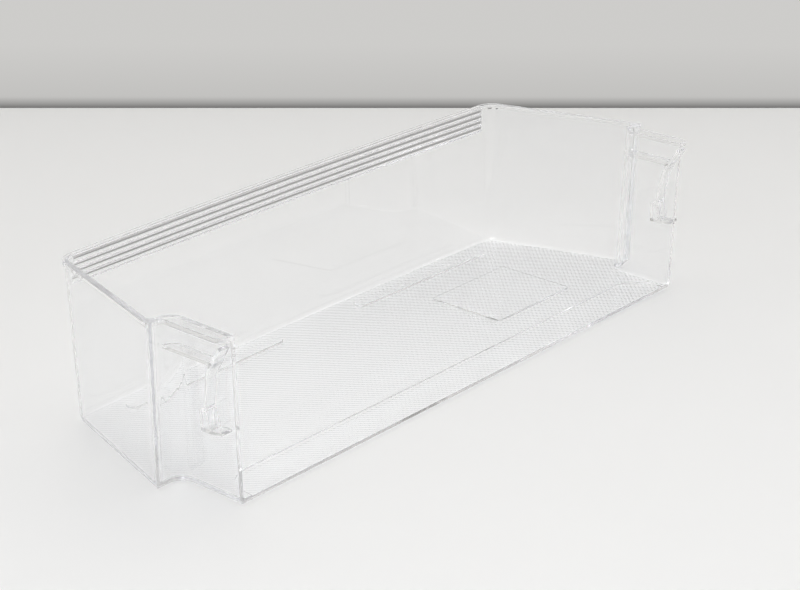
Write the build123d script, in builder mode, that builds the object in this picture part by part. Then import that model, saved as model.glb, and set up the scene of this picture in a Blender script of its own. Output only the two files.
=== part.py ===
"""Clear plastic door shelf for a refrigerator, moulded as one piece.

The shelf is an open tray. A tall wall runs along the front and round to both ends, each end steps in to a
narrow neck that sits between the door's side walls, and the side towards the door is open.

X runs along the shelf, +Y points from the door to the front wall and +Z is up. The origin is on the table
under the middle of the shelf. Lengths are in millimetres.
"""

import os
from math import asin, atan, cos, degrees, sin

from build123d import *

# Overall size
length = 460.0  # over the rim at the two step corners
depth = 155.0  # from the open edge to the front of the rim
height = 101.0  # table to rim

# Walls and floor
wall_thick = 2.5
floor_thick = 3.0
end_taper = 32.0  # each end closes in by this much on its way to the front wall
end_draft = 2.2  # each end stands in by this much at the table
front_draft = 4.8  # the front wall stands in by this much at the table
front_bow = 3.0  # and bows out by this much in the middle
front_radius = 12.0  # upright corner between front wall and end
post_radius = 3.0  # inside of the upright step corner
bottom_radius = 4.0  # outside edge along the table
inside_radius = 1.8  # inside edge along the floor
open_radius = 0.8  # outside edge along the open side

# Neck, the narrow part next to the door
neck_depth = 45.0
neck_step_rim = 17.5  # the neck stands in by this much at the rim
neck_step_table = 22.0  # and by this much at the table
neck_radius = 8.0  # upright corner between step and neck

# Rim
lip_reach = 1.2  # the rim stands out of the wall by this much
lip_height = 2.6
flange_reach = 7.6  # and by this much along the neck
flange_radius = 4.5  # its corner at the open edge
flange_blend = 4.0  # its corner at the step
rim_radius = 0.5  # edges along the top of the rim

# Flutes across the outside of the front wall
flute_count = 4
flute_pitch = 4.0
flute_radius = 2.6
flute_sides = 16  # flats of a full round
flute_deep = 0.85
flute_length = 376.0

# Ribs on the outside of the neck that hang the shelf on the door, measured to their middle line: back is from
# the open edge and down is from the rim
rib_thick = 2.0
rib_reach = 7.5
ledge_down = 16.5  # level ledge that rests on the door's support
ledge_blend = 5.0  # round between brace and top of the ledge
ledge_root = 1.5  # round between brace and underside of the ledge
brace_back = 2.2  # top of the brace, the leg's slanting upper end
brace_down = 6.0
bend_back = 12.2  # where brace and leg meet
bend_down = 23.5
bend_radius = 12.0
knee_back = 15.0  # where the leg turns back towards the door
knee_down = 44.0
knee_radius = 3.0
foot_back = 11.8  # lower end of the leg
foot_down = 57.5
bump_back = 18.2  # bump beside the leg that holds the support in place
bump_down = 47.0
hook_back = 3.5  # tip of the hook below the leg
hook_down = 56.0

# Floor
band_depth = 24.5  # shallow band along the open edge
band_length = 398.0
band_radius = 22.0
band_deep = 0.6
bar_length = 131.0  # low bars beside the front wall
bar_width = 9.0
bar_height = 0.8
bar_bevel = 0.5  # top edges
bar_spacing = 203.0  # between the middles of the two bars
bar_back = 130.5  # from the open edge
pad_length = 76.0  # low pad on one side of the floor
pad_width = 56.0
pad_height = 1.0
pad_radius = 1.5
pad_offset = 116.0  # from the middle of the shelf
pad_back = 73.0  # from the open edge

back_y = -depth / 2
step_y = back_y + neck_depth
front_y = depth / 2 - lip_reach - front_bow
post_x = length / 2 - lip_reach
neck_x = length / 2 - neck_step_rim
neck_foot_x = length / 2 - neck_step_table
front_x = post_x - end_taper
bow_radius = (front_x**2 + front_bow**2) / (2 * front_bow)


def outline(level: float, edge_y: float) -> None:
    """Add the outside of the wall at a level to the sketch being built.

    Args:
        level: height above the table.
        edge_y: where the two necks end at the open side.
    """
    drop = 1 - level / height
    neck = neck_x + (neck_foot_x - neck_x) * drop
    post = post_x - end_draft * drop
    front = front_y - front_draft * drop
    right = [(neck, edge_y), (neck, step_y), (post, step_y), (post - end_taper, front)]
    left = [(-x, y) for x, y in right]
    with BuildLine() as walls:
        Polyline(*reversed(left), *right)
        ThreePointArc(right[-1], (0, front + front_bow), left[-1])
    make_face(walls.edges())


def round_corners(front: float, neck: float) -> None:
    """Round the front corners and the step corners of the outline in the sketch being built.

    Args:
        front: radius of the two front corners.
        neck: radius of the two corners between step and neck.
    """
    fillet(vertices().group_by(Axis.Y)[1].sort_by(Axis.X)[1:3], radius=neck)
    fillet(vertices().group_by(Axis.Y)[-1], radius=front)


# Space inside the shelf, run out past the open edge and over the rim
with BuildPart() as space:
    for level in (floor_thick, height + wall_thick):
        with BuildSketch(Plane.XY.offset(level)):
            outline(level, back_y - 2 * wall_thick)
            offset(amount=-wall_thick, kind=Kind.INTERSECTION, mode=Mode.REPLACE)
            round_corners(front_radius - wall_thick, neck_radius + wall_thick)
            outer = vertices().sort_by(Axis.X)
            fillet([outer[0], outer[-1]], radius=post_radius)
    loft(ruled=True)
    fillet(faces().sort_by(Axis.Z)[0].edges(), radius=inside_radius)

# Hanging ribs of one neck, level along X and cut off along the leaning neck wall
neck_lean = atan((neck_x - neck_foot_x) / height)
outward = Vector(1, 0, 0).rotate(Axis.Y, degrees(neck_lean))
neck_face = Plane(origin=(neck_x, 0, height), x_dir=(0, 1, 0), z_dir=outward)
rib_plane = Plane(origin=(neck_foot_x - wall_thick, back_y, height), x_dir=(0, 1, 0), z_dir=(1, 0, 0))
brace = (brace_back, -brace_down)
bend = (bend_back, -bend_down)
knee = (knee_back, -knee_down)
foot = (foot_back, -foot_down)
ledge_share = (bend_down - ledge_down) / (bend_down - brace_down)
ledge_end = (bend_back + (brace_back - bend_back) * ledge_share, -ledge_down)
with BuildPart() as ribs:
    with BuildSketch(rib_plane):
        with BuildLine():
            FilletPolyline(brace, bend, knee, foot, radius=[bend_radius, knee_radius])
        trace(line_width=rib_thick)
        with BuildLine():
            Line((neck_depth, -ledge_down), ledge_end)
        trace(line_width=rib_thick)
        with BuildLine():
            Polyline(knee, (bump_back, -bump_down), (bump_back, -foot_down), foot, (hook_back, -hook_down))
        trace(line_width=rib_thick)
        for up, radius in ((rib_thick, ledge_blend), (-rib_thick, ledge_root)):
            corner = (ledge_end[0] + rib_thick, ledge_end[1] + up)
            fillet(vertices().sort_by_distance(corner)[0], radius=radius)
    extrude(amount=neck_step_table + rib_reach)
    split(bisect_by=neck_face.offset(rib_reach), keep=Keep.BOTTOM)
    split(bisect_by=neck_face.offset(-wall_thick / 2), keep=Keep.TOP)

# Low bars on the floor, turned to follow the bow of the front wall
bar_turn = degrees(asin(bar_spacing / 2 / bow_radius))
with BuildPart() as bars:
    with BuildSketch(Plane.XY.offset(floor_thick)):
        for side in (-1, 1):
            with Locations((side * bar_spacing / 2, back_y + bar_back)):
                SlotOverall(bar_length, bar_width, rotation=-side * bar_turn)
    extrude(amount=bar_height)
    chamfer(faces().group_by(Axis.Z)[-1].edges(), length=bar_bevel)

with BuildPart() as shelf:
    # Outside of the walls, from the table to the rim
    for level in (0, height):
        with BuildSketch(Plane.XY.offset(level)):
            outline(level, back_y)
            round_corners(front_radius, neck_radius)
    loft(ruled=True)
    table_edges = faces().sort_by(Axis.Z)[0].edges().sort_by(Axis.Y)
    fillet(table_edges[1:], radius=bottom_radius)
    open_edges = faces().sort_by(Axis.Y)[0].edges().sort_by(Axis.Z)
    fillet(open_edges[:-1], radius=open_radius)

    # Rim, a lip round the walls that widens to a flange along each neck
    with BuildSketch(Plane.XY.offset(height - lip_height)):
        outline(height, back_y + lip_reach)
        fillet(vertices().group_by(Axis.Y)[-1], radius=front_radius)
        offset(amount=lip_reach, mode=Mode.REPLACE)
        with BuildSketch(mode=Mode.PRIVATE) as flange:
            with Locations((0, back_y)):
                Rectangle(2 * (neck_x + flange_reach), neck_depth, align=(Align.CENTER, Align.MIN))
            fillet(vertices().group_by(Axis.Y)[0], radius=flange_radius)
        add(flange.sketch)
        fillet(vertices().group_by(Axis.Y)[2].sort_by(Axis.X)[1:3], radius=flange_blend)
    extrude(amount=lip_height)

    # Hanging ribs on both necks
    add(ribs.part)
    mirror(ribs.part, about=Plane.YZ)

    # Inside
    add(space.part, mode=Mode.SUBTRACT)
    fillet(faces().sort_by(Axis.Z)[-1].edges(), radius=rim_radius)

    # Flutes, each turned about the upright axis of the bow at its own height
    lean = front_draft / height
    flute_turn = asin(flute_length / 2 / bow_radius)
    radial = (sin(flute_turn), cos(flute_turn), 0)
    along = (-cos(flute_turn), sin(flute_turn), 0)
    for row in range(flute_count):
        drop = lip_height + (row + 0.5) * flute_pitch
        bow_middle = (0, front_y + front_bow - bow_radius - lean * drop, height - drop)
        with BuildSketch(Plane(origin=bow_middle, x_dir=radial, z_dir=along)):
            with Locations((bow_radius + flute_radius - flute_deep, 0)):
                RegularPolygon(flute_radius, flute_sides)
        revolve(axis=Axis(bow_middle, (0, 0, 1)), revolution_arc=2 * degrees(flute_turn), mode=Mode.SUBTRACT)

    # Floor: band along the open edge, bars beside the front wall and the pad
    with BuildSketch(Plane.XY.offset(floor_thick)):
        with Locations((0, back_y)):
            Rectangle(band_length, band_depth, align=(Align.CENTER, Align.MIN))
        fillet(vertices().group_by(Axis.Y)[-1], radius=band_radius)
    extrude(amount=-band_deep, mode=Mode.SUBTRACT)
    add(bars.part)
    with BuildSketch(Plane.XY.offset(floor_thick)):
        with Locations((pad_offset, back_y + pad_back)):
            RectangleRounded(pad_length, pad_width, pad_radius)
    extrude(amount=pad_height)

os.makedirs("parts", exist_ok=True)
shelf.part.label = "door_shelf"
export_step(shelf.part, "parts/door_shelf.step")
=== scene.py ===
"""Clear plastic refrigerator door shelf on a white table in front of a pale wall.

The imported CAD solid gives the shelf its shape. This script copies it, gives it a clear plastic finish with fine
dots on the floor, and stands it on the table before the camera. Lengths are in metres, angles in degrees.
"""

import logging
import math
from dataclasses import dataclass, field
from enum import Enum

import bmesh
import bpy
from mathutils import Euler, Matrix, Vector


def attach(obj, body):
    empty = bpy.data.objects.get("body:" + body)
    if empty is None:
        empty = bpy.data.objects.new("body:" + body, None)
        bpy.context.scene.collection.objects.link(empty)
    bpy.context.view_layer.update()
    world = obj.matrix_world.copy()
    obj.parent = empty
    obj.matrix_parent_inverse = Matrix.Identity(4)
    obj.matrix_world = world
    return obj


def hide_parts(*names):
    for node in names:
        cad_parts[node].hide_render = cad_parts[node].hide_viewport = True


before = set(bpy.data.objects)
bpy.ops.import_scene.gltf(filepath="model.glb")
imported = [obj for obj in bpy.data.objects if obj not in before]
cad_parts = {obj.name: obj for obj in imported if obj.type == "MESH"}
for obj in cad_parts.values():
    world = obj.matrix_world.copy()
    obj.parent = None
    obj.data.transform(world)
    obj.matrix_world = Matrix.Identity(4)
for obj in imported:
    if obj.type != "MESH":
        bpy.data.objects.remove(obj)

Colour = tuple[float, float, float]
Point = tuple[float, float, float]
Shades = tuple[tuple[float, float], ...]  # height above the table, and how light a wall is there

MM = 0.001
log = logging.getLogger("door_shelf")


def link_to_scene(name: str, data: bpy.types.ID) -> bpy.types.Object:
    """Put a mesh, lamp or camera into the scene as an object.

    Args:
        name: name of the object.
        data: what the object shows.

    Returns:
        The new object.
    """
    obj = bpy.data.objects.new(name, data)
    bpy.context.scene.collection.objects.link(obj)
    return obj


def opaque(colour: Colour) -> tuple[float, float, float, float]:
    """Give the colour as a socket takes it, with full alpha."""
    return (*colour, 1.0)


class Variation:
    """Shader group for a surface that is never quite even: cloudy tone, cloudy gloss and slight waves.

    The plastic, the table and the wall each place it with their own values.
    """

    name = "uneven_surface"
    fine_ratio = 7.0  # the fine clouds are this many times smaller than the broad ones
    fine_share = 0.35
    cloud_detail = 2.0

    def __init__(self) -> None:
        """Make the group with its sockets and nodes."""
        self.tree = bpy.data.node_groups.new(self.name, "ShaderNodeTree")
        self._add_sockets()
        self._add_nodes()

    def _add_sockets(self) -> None:
        """Name the group's inputs and outputs."""
        ports = self.tree.interface
        for name in ("Tone A", "Tone B"):
            ports.new_socket(name, in_out="INPUT", socket_type="NodeSocketColor")
        for name in ("Clouds per Metre", "Roughness Low", "Roughness High"):
            ports.new_socket(name, in_out="INPUT", socket_type="NodeSocketFloat")
        ports.new_socket("Tone", in_out="OUTPUT", socket_type="NodeSocketColor")
        for name in ("Roughness", "Height"):
            ports.new_socket(name, in_out="OUTPUT", socket_type="NodeSocketFloat")

    def _noise(self, scale: bpy.types.NodeSocket, place: bpy.types.NodeSocket) -> bpy.types.NodeSocket:
        """Add one layer of clouds.

        Args:
            scale: socket that gives the clouds per metre.
            place: socket that gives the point on the surface.

        Returns:
            The socket with the clouds' value.
        """
        noise = self.tree.nodes.new("ShaderNodeTexNoise")
        noise.inputs["Detail"].default_value = self.cloud_detail
        self.tree.links.new(place, noise.inputs["Vector"])
        self.tree.links.new(scale, noise.inputs["Scale"])
        return noise.outputs["Fac"]

    def _add_nodes(self) -> None:
        """Mix broad and fine clouds, and map them to tone, gloss and height."""
        nodes, links = self.tree.nodes, self.tree.links
        given = nodes.new("NodeGroupInput").outputs
        result = nodes.new("NodeGroupOutput").inputs
        place = nodes.new("ShaderNodeTexCoord").outputs["Object"]

        finer = nodes.new("ShaderNodeMath")
        finer.operation = "MULTIPLY"
        links.new(given["Clouds per Metre"], finer.inputs[0])
        finer.inputs[1].default_value = self.fine_ratio

        both = nodes.new("ShaderNodeMix")
        both.inputs["Factor"].default_value = self.fine_share
        links.new(self._noise(given["Clouds per Metre"], place), both.inputs["A"])
        links.new(self._noise(finer.outputs["Value"], place), both.inputs["B"])
        clouds = both.outputs["Result"]

        tone = nodes.new("ShaderNodeMix")
        tone.data_type = "RGBA"
        colours = [socket for socket in tone.inputs if socket.type == "RGBA"]
        links.new(clouds, tone.inputs["Factor"])
        links.new(given["Tone A"], colours[0])
        links.new(given["Tone B"], colours[1])
        links.new(next(socket for socket in tone.outputs if socket.type == "RGBA"), result["Tone"])

        gloss = nodes.new("ShaderNodeMapRange")
        links.new(clouds, gloss.inputs["Value"])
        links.new(given["Roughness Low"], gloss.inputs["To Min"])
        links.new(given["Roughness High"], gloss.inputs["To Max"])
        links.new(gloss.outputs["Result"], result["Roughness"])
        links.new(clouds, result["Height"])


class FloorDots:
    """Shader group for the fine dots on the floor: low rounds in staggered rows that run into one another."""

    name = "floor_dots"
    pitch = 3.7 * MM  # along a row
    lowest_floor = 2.2 * MM  # just under the band along the open edge
    highest_floor = 4.5 * MM  # just over the pad
    levelness = 0.995  # least upward part of the normal, which keeps the dots off rounded edges

    def __init__(self) -> None:
        """Make the group. Its only output is the dots' height, from -1 to 1."""
        self.tree = bpy.data.node_groups.new(self.name, "ShaderNodeTree")
        self.tree.interface.new_socket("Height", in_out="OUTPUT", socket_type="NodeSocketFloat")
        nodes, links = self.tree.nodes, self.tree.links
        place = nodes.new("ShaderNodeSeparateXYZ")
        facing = nodes.new("ShaderNodeSeparateXYZ")
        links.new(nodes.new("ShaderNodeTexCoord").outputs["Object"], place.inputs["Vector"])
        links.new(nodes.new("ShaderNodeNewGeometry").outputs["True Normal"], facing.inputs["Vector"])
        height = self._math("MULTIPLY", self._wave(place.outputs["X"]), self._wave(place.outputs["Y"]))
        for limit in (
            self._math("GREATER_THAN", place.outputs["Z"], self.lowest_floor),
            self._math("LESS_THAN", place.outputs["Z"], self.highest_floor),
            self._math("GREATER_THAN", facing.outputs["Z"], self.levelness),
        ):
            height = self._math("MULTIPLY", height, limit)
        links.new(height, nodes.new("NodeGroupOutput").inputs["Height"])

    def _wave(self, place: bpy.types.NodeSocket) -> bpy.types.NodeSocket:
        """Add a wave along one direction of the floor, one pitch long."""
        return self._math("COSINE", self._math("MULTIPLY", place, 2 * math.pi / self.pitch))

    def _math(self, operation: str, *values: bpy.types.NodeSocket | float) -> bpy.types.NodeSocket:
        """Add a math node.

        Args:
            operation: what it does.
            values: sockets or numbers that it works on.

        Returns:
            The socket with the result.
        """
        node = self.tree.nodes.new("ShaderNodeMath")
        node.operation = operation
        for port, value in zip(node.inputs, values):
            if isinstance(value, bpy.types.NodeSocket):
                self.tree.links.new(value, port)
            else:
                port.default_value = value
        return node.outputs["Value"]


@dataclass(frozen=True)
class Finish:
    """What every finish has: two close tones, a range of gloss and the scale of its clouds."""

    name: str
    tone_a: Colour
    tone_b: Colour
    rough_low: float
    rough_high: float
    clouds_per_metre: float
    wave_height: float  # of the slight waves, in metres

    def material(self, variation: Variation) -> bpy.types.Material:
        """Make the material that all finishes start from.

        Args:
            variation: the shared group for uneven surfaces.

        Returns:
            A material whose shader takes tone, gloss and waves from the group.
        """
        made = bpy.data.materials.new(self.name)
        made.use_nodes = True
        nodes, links = made.node_tree.nodes, made.node_tree.links
        shader = nodes["Principled BSDF"]

        uneven = nodes.new("ShaderNodeGroup")
        uneven.node_tree = variation.tree
        uneven.inputs["Tone A"].default_value = opaque(self.tone_a)
        uneven.inputs["Tone B"].default_value = opaque(self.tone_b)
        uneven.inputs["Clouds per Metre"].default_value = self.clouds_per_metre
        uneven.inputs["Roughness Low"].default_value = self.rough_low
        uneven.inputs["Roughness High"].default_value = self.rough_high
        links.new(uneven.outputs["Tone"], shader.inputs["Base Color"])
        links.new(uneven.outputs["Roughness"], shader.inputs["Roughness"])

        waves = nodes.new("ShaderNodeBump")
        waves.inputs["Distance"].default_value = self.wave_height
        links.new(uneven.outputs["Height"], waves.inputs["Height"])
        links.new(waves.outputs["Normal"], shader.inputs["Normal"])
        return made


@dataclass(frozen=True)
class ClearPlastic(Finish):
    """Water-clear moulded plastic with a polished surface."""

    ior: float = 1.57
    dot_height: float = 0.0  # of the fine dots on the floor, from level to top
    depth_tint: Colour = (0.8, 0.8, 0.85)  # of light that runs far inside the walls
    depth_density: float = 1.0
    shadow_tint: Colour = (0.985, 0.986, 0.988)

    def material(self, variation: Variation) -> bpy.types.Material:
        """Make the clear finish, which lets lamp light through to the table.

        Args:
            variation: the shared group for uneven surfaces.

        Returns:
            The material.
        """
        made = super().material(variation)
        shader = made.node_tree.nodes["Principled BSDF"]
        shader.inputs["IOR"].default_value = self.ior
        shader.inputs["Transmission Weight"].default_value = 1.0
        self._add_dots(made)
        self._tint_depth(made)
        self._pass_lamp_light(made)
        return made

    def _add_dots(self, made: bpy.types.Material) -> None:
        """Lay the floor's dots over the slight waves.

        Args:
            made: the clear material.
        """
        nodes, links = made.node_tree.nodes, made.node_tree.links
        normal = nodes["Principled BSDF"].inputs["Normal"]
        dots = nodes.new("ShaderNodeGroup")
        dots.node_tree = FloorDots().tree
        relief = nodes.new("ShaderNodeBump")
        relief.inputs["Distance"].default_value = self.dot_height
        links.new(dots.outputs["Height"], relief.inputs["Height"])
        links.new(normal.links[0].from_socket, relief.inputs["Normal"])
        links.new(relief.outputs["Normal"], normal)

    def _tint_depth(self, made: bpy.types.Material) -> None:
        """Grey the light that runs far inside the plastic.

        Args:
            made: the clear material.
        """
        nodes, links = made.node_tree.nodes, made.node_tree.links
        depth = nodes.new("ShaderNodeVolumeAbsorption")
        depth.inputs["Color"].default_value = opaque(self.depth_tint)
        depth.inputs["Density"].default_value = self.depth_density
        links.new(depth.outputs["Volume"], nodes["Material Output"].inputs["Volume"])

    def _pass_lamp_light(self, made: bpy.types.Material) -> None:
        """Let lamp light pass straight through to the table.

        Args:
            made: the clear material.
        """
        nodes, links = made.node_tree.nodes, made.node_tree.links
        through = nodes.new("ShaderNodeBsdfTransparent")
        through.inputs["Color"].default_value = opaque(self.shadow_tint)
        ray = nodes.new("ShaderNodeLightPath")
        either = nodes.new("ShaderNodeMixShader")
        links.new(ray.outputs["Is Shadow Ray"], either.inputs["Fac"])
        links.new(nodes["Principled BSDF"].outputs["BSDF"], either.inputs[1])
        links.new(through.outputs["BSDF"], either.inputs[2])
        links.new(either.outputs["Shader"], nodes["Material Output"].inputs["Surface"])


def hide_back(made: bpy.types.Material) -> None:
    """Let the back of a panel be seen through, so that it stands in no other view's way.

    Args:
        made: material of the panel.
    """
    nodes, links = made.node_tree.nodes, made.node_tree.links
    end = nodes["Material Output"].inputs["Surface"]
    front = end.links[0].from_socket
    nothing = nodes.new("ShaderNodeBsdfTransparent")
    face = nodes.new("ShaderNodeNewGeometry")
    side = nodes.new("ShaderNodeMixShader")
    links.new(face.outputs["Backfacing"], side.inputs["Fac"])
    links.new(front, side.inputs[1])
    links.new(nothing.outputs["BSDF"], side.inputs[2])
    links.new(side.outputs["Shader"], end)


@dataclass(frozen=True)
class TablePaint(Finish):
    """Matt white of the table."""

    specular_level: float = 0.2

    def material(self, variation: Variation) -> bpy.types.Material:
        """Make the paint.

        Args:
            variation: the shared group for uneven surfaces.

        Returns:
            The material.
        """
        made = super().material(variation)
        made.node_tree.nodes["Principled BSDF"].inputs["Specular IOR Level"].default_value = self.specular_level
        hide_back(made)
        return made


@dataclass(frozen=True)
class WallPaint(Finish):
    """Grey of the wall, with painted shade where it goes down behind the table.

    The camera sees it plain above that painted shade. What the plastic bends into view carries painted light and
    shade:
    darker along the table, which draws the edges of clear things, and lighter above.
    """

    tint: Colour = (1.0, 1.0, 1.0)
    # painted shade: this tone darkens at the wall's foot, where the table's shadow falls in the gap
    plain_tone_with_painted_shade: Shades = ()  # as the camera sees the wall
    # painted light and shade: darker along the table, lighter higher up, only for rays bent or mirrored by the
    # plastic
    bent_painted_light_and_shade: Shades = ()  # as seen through the plastic or mirrored in it

    def _shade(self, made: bpy.types.Material, shades: Shades) -> bpy.types.NodeSocket:
        """Add nodes that shade the wall by height.

        Args:
            made: material of the wall.
            shades: height above the table, and how light the wall is there.

        Returns:
            The socket with the colour.
        """
        nodes, links = made.node_tree.nodes, made.node_tree.links
        low, high = shades[0][0], shades[-1][0]
        place = nodes.new("ShaderNodeTexCoord")
        split = nodes.new("ShaderNodeSeparateXYZ")
        climb = nodes.new("ShaderNodeMapRange")
        climb.inputs["From Min"].default_value = low
        climb.inputs["From Max"].default_value = high
        ramp = nodes.new("ShaderNodeValToRGB")
        stops = ramp.color_ramp.elements
        while len(stops) < len(shades):
            stops.new(1.0)
        for stop, (level, light) in zip(stops, shades):
            stop.position = (level - low) / (high - low)
            stop.color = opaque(tuple(light * part for part in self.tint))
        links.new(place.outputs["Object"], split.inputs["Vector"])
        links.new(split.outputs["Z"], climb.inputs["Value"])
        links.new(climb.outputs["Result"], ramp.inputs["Fac"])
        return ramp.outputs["Color"]

    def material(self, variation: Variation) -> bpy.types.Material:
        """Make the paint. Camera and plastic see the wall glow with its tone and its painted light and shade,
        whatever light falls on it.

        Args:
            variation: the shared group for uneven surfaces.

        Returns:
            The material.
        """
        made = super().material(variation)
        nodes, links = made.node_tree.nodes, made.node_tree.links
        ray = nodes.new("ShaderNodeLightPath")
        # the wall glows with its painted light and shade for glossy, transmission and camera rays
        for kind, shades in (
            ("Is Glossy Ray", self.bent_painted_light_and_shade),
            ("Is Transmission Ray", self.bent_painted_light_and_shade),
            ("Is Camera Ray", self.plain_tone_with_painted_shade),
        ):
            end = nodes["Material Output"].inputs["Surface"]
            tone = nodes.new("ShaderNodeEmission")
            choice = nodes.new("ShaderNodeMixShader")
            links.new(self._shade(made, shades), tone.inputs["Color"])
            links.new(ray.outputs[kind], choice.inputs["Fac"])
            links.new(end.links[0].from_socket, choice.inputs[1])
            links.new(tone.outputs["Emission"], choice.inputs[2])
            links.new(choice.outputs["Shader"], end)
        hide_back(made)
        return made


@dataclass
class DoorShelf:
    """The shelf itself: the CAD solid in clear plastic."""

    node: str = "door_shelf"
    body: str = "root"
    slot: str = "clear_plastic"
    name: str = "clear_shelf"
    weld: float = 0.001 * MM  # points that lie closer than this are joined
    crease: float = 31.0  # faces that meet at more than this show an edge
    flatness: float = 0.3  # faces that differ by less than this are one flat
    finish: ClearPlastic = ClearPlastic(
        name="clear_moulded_plastic",
        tone_a=(0.982, 0.984, 0.988),
        tone_b=(0.988, 0.990, 0.993),
        rough_low=0.004,
        rough_high=0.014,
        clouds_per_metre=14.0,
        wave_height=0.01 * MM,
        dot_height=0.07 * MM,
    )

    def build(self, variation: Variation) -> bpy.types.Object:
        """Make the shelf's visual piece and put it in the CAD node's place.

        Args:
            variation: the shared group for uneven surfaces.

        Returns:
            The finished piece.
        """
        piece = link_to_scene(self.name, self._shell())
        self._shade(piece)
        piece.data.materials.clear()
        piece.data.materials.append(self.finish.material(variation))
        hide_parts(self.node)
        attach(piece, self.body)
        return piece

    def _shell(self) -> bpy.types.Mesh:
        """Copy the CAD node's mesh and join its faces along their shared edges.

        Returns:
            The joined mesh.
        """
        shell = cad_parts[self.node].data.copy()
        work = bmesh.new()
        work.from_mesh(shell)
        bmesh.ops.remove_doubles(work, verts=work.verts, dist=self.weld)
        work.to_mesh(shell)
        work.free()
        return shell

    def _shade(self, piece: bpy.types.Object) -> None:
        """Shade curved faces smooth up to their creases, and keep flat faces flat right to their edges.

        Args:
            piece: the shelf.
        """
        work = bmesh.new()
        work.from_mesh(piece.data)
        weights = self._flat_areas(work)
        limit = math.cos(math.radians(self.crease))
        normals = []
        for face in work.faces:
            for corner in face.verts:
                total = Vector((0, 0, 0))
                for near in corner.link_faces:
                    if near.normal.dot(face.normal) > limit:
                        total += near.normal * weights[near.index]
                normals.append(total.normalized() if total.length else face.normal.copy())
        work.free()
        piece.data.shade_smooth()
        piece.data.normals_split_custom_set(normals)

    def _flat_areas(self, work: bmesh.types.BMesh) -> list[float]:
        """Measure the flat that each face is part of.

        Args:
            work: the shelf's mesh.

        Returns:
            For each face, the area of the flat that it belongs to.
        """
        limit = math.cos(math.radians(self.flatness))
        areas = [0.0] * len(work.faces)
        seen = set()
        for first in work.faces:
            if first in seen:
                continue
            seen.add(first)
            flat = [first]
            for face in flat:
                for near in (other for edge in face.edges for other in edge.link_faces):
                    if near not in seen and near.normal.dot(first.normal) > limit:
                        seen.add(near)
                        flat.append(near)
            area = sum(face.calc_area() for face in flat)
            for face in flat:
                areas[face.index] = area
        return areas


@dataclass
class PhotoCamera:
    """Camera that stands to the left of the open side and looks down on the shelf."""

    place: Point = (-0.92697, -0.79010, 0.54305)
    azimuth: float = -50.0525
    elevation: float = 22.5599
    roll: float = 0.6399
    focal_length: float = 95.208  # in mm, on a sensor of Blender's usual width
    near: float = 0.05

    def build(self) -> bpy.types.Object:
        """Make the camera and look through it.

        Returns:
            The camera object.
        """
        lens = bpy.data.cameras.new("camera")
        lens.lens = self.focal_length
        lens.clip_start = self.near
        camera = link_to_scene("camera", lens)
        turn = Euler((math.radians(90 - self.elevation), 0, math.radians(self.azimuth))).to_matrix()
        roll = Euler((0, 0, math.radians(self.roll))).to_matrix()
        camera.matrix_world = (turn @ roll).to_4x4()
        camera.location = self.place
        bpy.context.scene.camera = camera
        return camera


class Lamp(Enum):
    """The lamps of the studio."""

    CEILING = "ceiling_lamp"
    FRONT = "front_lamp"


@dataclass(frozen=True)
class LampSetting:
    """Where a lamp hangs and how much light it gives."""

    ahead: float  # from the shelf, away from the camera
    aside: float  # to the camera's right
    above: float
    size: float
    watts: float


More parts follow.
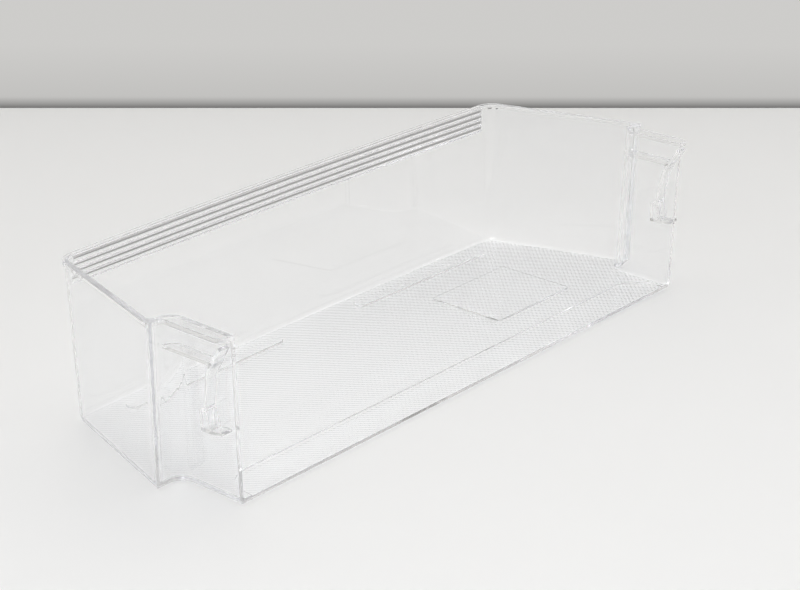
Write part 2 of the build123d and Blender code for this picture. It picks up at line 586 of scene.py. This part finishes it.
@dataclass
class Studio:
    """Table, wall, lamps and surrounding light."""

    table_gap: float = 0.4 * MM  # between table and shelf
    heading: float = -47.93  # direction to the wall, turned from +Y
    table_far: float = 0.504  # far edge of the table, from the shelf
    table_near: float = 4.0  # from the far edge towards the camera
    table_side: float = 3.0
    apron: float = 0.3  # height of the table's far side
    wall_gap: float = 0.018  # between table and wall
    wall_above: float = 2.2
    room_light: tuple[float, float] = (0.58, 0.62)  # at the horizon and overhead
    bent_light: tuple[float, float] = (0.42, 1.0)  # the same, as seen through the plastic or mirrored in it
    room_tint: Colour = (0.985, 0.99, 1.0)
    lamps: dict[Lamp, LampSetting] = field(
        default_factory=lambda: {
            Lamp.CEILING: LampSetting(ahead=-1.3, aside=0.15, above=1.9, size=1.4, watts=26.0),
            Lamp.FRONT: LampSetting(ahead=-1.8, aside=-0.8, above=1.3, size=1.0, watts=2.0),
        }
    )
    table_paint: TablePaint = TablePaint(
        name="white_table",
        tone_a=(0.82, 0.82, 0.815),
        tone_b=(0.84, 0.84, 0.838),
        rough_low=0.45,
        rough_high=0.6,
        clouds_per_metre=3.0,
        wave_height=0.02 * MM,
    )
    wall_paint: WallPaint = WallPaint(
        name="grey_wall",
        tone_a=(0.72, 0.70, 0.66),
        tone_b=(0.75, 0.73, 0.69),
        rough_low=0.7,
        rough_high=0.85,
        clouds_per_metre=2.0,
        wave_height=0.02 * MM,
        tint=(1.005, 0.995, 0.972),
        # painted shadow of the table: the wall darkens from just above the table's edge downwards
        plain_tone_with_painted_shade=((-0.006, 0.16), (-0.002, 0.34), (0.004, 0.54), (0.05, 0.61), (0.4, 0.62)),
        # painted light and shade that the plastic bends into view: a dark strip along the table, lighter bands
        # above
        bent_painted_light_and_shade=(
            (-0.006, 0.16),
            (0.0, 0.29),
            (0.1, 0.32),
            (0.13, 0.5),
            (0.16, 0.69),
            (0.34, 0.72),
            (0.5, 0.62),
            (0.8, 0.45),
        ),
    )

    ahead: Vector = field(init=False)  # level direction to the wall
    aside: Vector = field(init=False)  # level direction along it
    edge: Vector = field(init=False)  # middle of the table's far edge

    def __post_init__(self) -> None:
        """Work out the directions that everything is placed along."""
        turn = math.radians(self.heading)
        self.ahead = Vector((-math.sin(turn), math.cos(turn), 0))
        self.aside = Vector((math.cos(turn), math.sin(turn), 0))
        self.edge = self.ahead * self.table_far

    def build(self, variation: Variation) -> None:
        """Set up everything round the shelf.

        Args:
            variation: the shared group for uneven surfaces.
        """
        self._table(variation)
        self._wall(variation)
        for lamp, setting in self.lamps.items():
            self._hang(lamp, setting)
        self._surround()

    def _panel(self, name: str, corners: list[Vector], paint: Finish, variation: Variation) -> bpy.types.Object:
        """Make a flat panel.

        Args:
            name: name of the panel.
            corners: its corners, counter-clockwise as seen from the side that shows.
            paint: its finish.
            variation: the shared group for uneven surfaces.

        Returns:
            The panel.
        """
        sheet = bpy.data.meshes.new(name)
        sheet.from_pydata(corners, [], [list(range(len(corners)))])
        sheet.materials.append(paint.material(variation))
        return link_to_scene(name, sheet)

    def _table(self, variation: Variation) -> list[bpy.types.Object]:
        """Make the table top and its far side, which stands just off the wall.

        Args:
            variation: the shared group for uneven surfaces.

        Returns:
            The two panels.
        """
        side = self.aside * self.table_side
        far = self.edge - Vector((0, 0, self.table_gap))
        near = far - self.ahead * self.table_near
        foot = far - Vector((0, 0, self.apron))
        top = [near - side, near + side, far + side, far - side]
        apron = [foot + side, foot - side, far - side, far + side]
        return [
            self._panel("table_top", top, self.table_paint, variation),
            self._panel("table_apron", apron, self.table_paint, variation),
        ]

    def _wall(self, variation: Variation) -> bpy.types.Object:
        """Make the wall behind the table.

        Args:
            variation: the shared group for uneven surfaces.

        Returns:
            The wall.
        """
        side = self.aside * self.table_side
        foot = self.edge + self.ahead * self.wall_gap - Vector((0, 0, self.apron))
        top = foot + Vector((0, 0, self.apron + self.wall_above))
        return self._panel("wall", [foot - side, foot + side, top + side, top - side], self.wall_paint, variation)

    def _hang(self, lamp: Lamp, setting: LampSetting) -> None:
        """Hang a soft square lamp that points at the shelf.

        Args:
            lamp: which lamp.
            setting: its place, size and light.
        """
        light = bpy.data.lights.new(lamp.value, "AREA")
        light.size = setting.size
        light.energy = setting.watts
        hung = link_to_scene(lamp.value, light)
        level = self.ahead * setting.ahead + self.aside * setting.aside
        hung.location = level + Vector((0, 0, setting.above))
        hung.rotation_euler = (-hung.location).to_track_quat("-Z", "Y").to_euler()

    def _surround(self) -> None:
        """Light the room from all sides. What the plastic bends into view is darker at the horizon."""
        world = bpy.data.worlds.new("room")
        world.use_nodes = True
        bpy.context.scene.world = world
        nodes, links = world.node_tree.nodes, world.node_tree.links
        split = nodes.new("ShaderNodeSeparateXYZ")
        links.new(nodes.new("ShaderNodeTexCoord").outputs["Generated"], split.inputs["Vector"])
        ray = nodes.new("ShaderNodeLightPath")
        bent = nodes.new("ShaderNodeMath")
        bent.operation = "MAXIMUM"
        links.new(ray.outputs["Is Glossy Ray"], bent.inputs[0])
        links.new(ray.outputs["Is Transmission Ray"], bent.inputs[1])
        strength = nodes.new("ShaderNodeMix")
        links.new(bent.outputs["Value"], strength.inputs["Factor"])
        for port, (horizon, overhead) in (("A", self.room_light), ("B", self.bent_light)):
            climb = nodes.new("ShaderNodeMapRange")
            climb.inputs["To Min"].default_value = horizon
            climb.inputs["To Max"].default_value = overhead
            links.new(split.outputs["Z"], climb.inputs["Value"])
            links.new(climb.outputs["Result"], strength.inputs[port])
        glow = nodes["Background"]
        glow.inputs["Color"].default_value = opaque(self.room_tint)
        links.new(strength.outputs["Result"], glow.inputs["Strength"])


def set_light_paths(bounces: int = 160) -> None:
    """Let light run a long way inside the clear walls before it is given up.

    Args:
        bounces: how often a ray may pass or turn.
    """
    paths = bpy.context.scene.cycles
    paths.max_bounces = bounces
    paths.glossy_bounces = bounces
    paths.transmission_bounces = bounces
    paths.transparent_max_bounces = bounces


def main() -> None:
    """Build the shelf and the studio, and report each piece."""
    logging.basicConfig(level=logging.INFO, format="%(name)s: %(message)s")
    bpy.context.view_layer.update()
    bpy.context.scene.view_settings.view_transform = "Standard"
    set_light_paths()
    variation = Variation()

    shelf = DoorShelf().build(variation)
    shelf.data.calc_loop_triangles()
    log.info("%s: %d triangles", shelf.name, len(shelf.data.loop_triangles))

    PhotoCamera().build()
    Studio().build(variation)
    log.info("camera, table, wall and lamps in place")


if __name__ == "__main__":
    main()
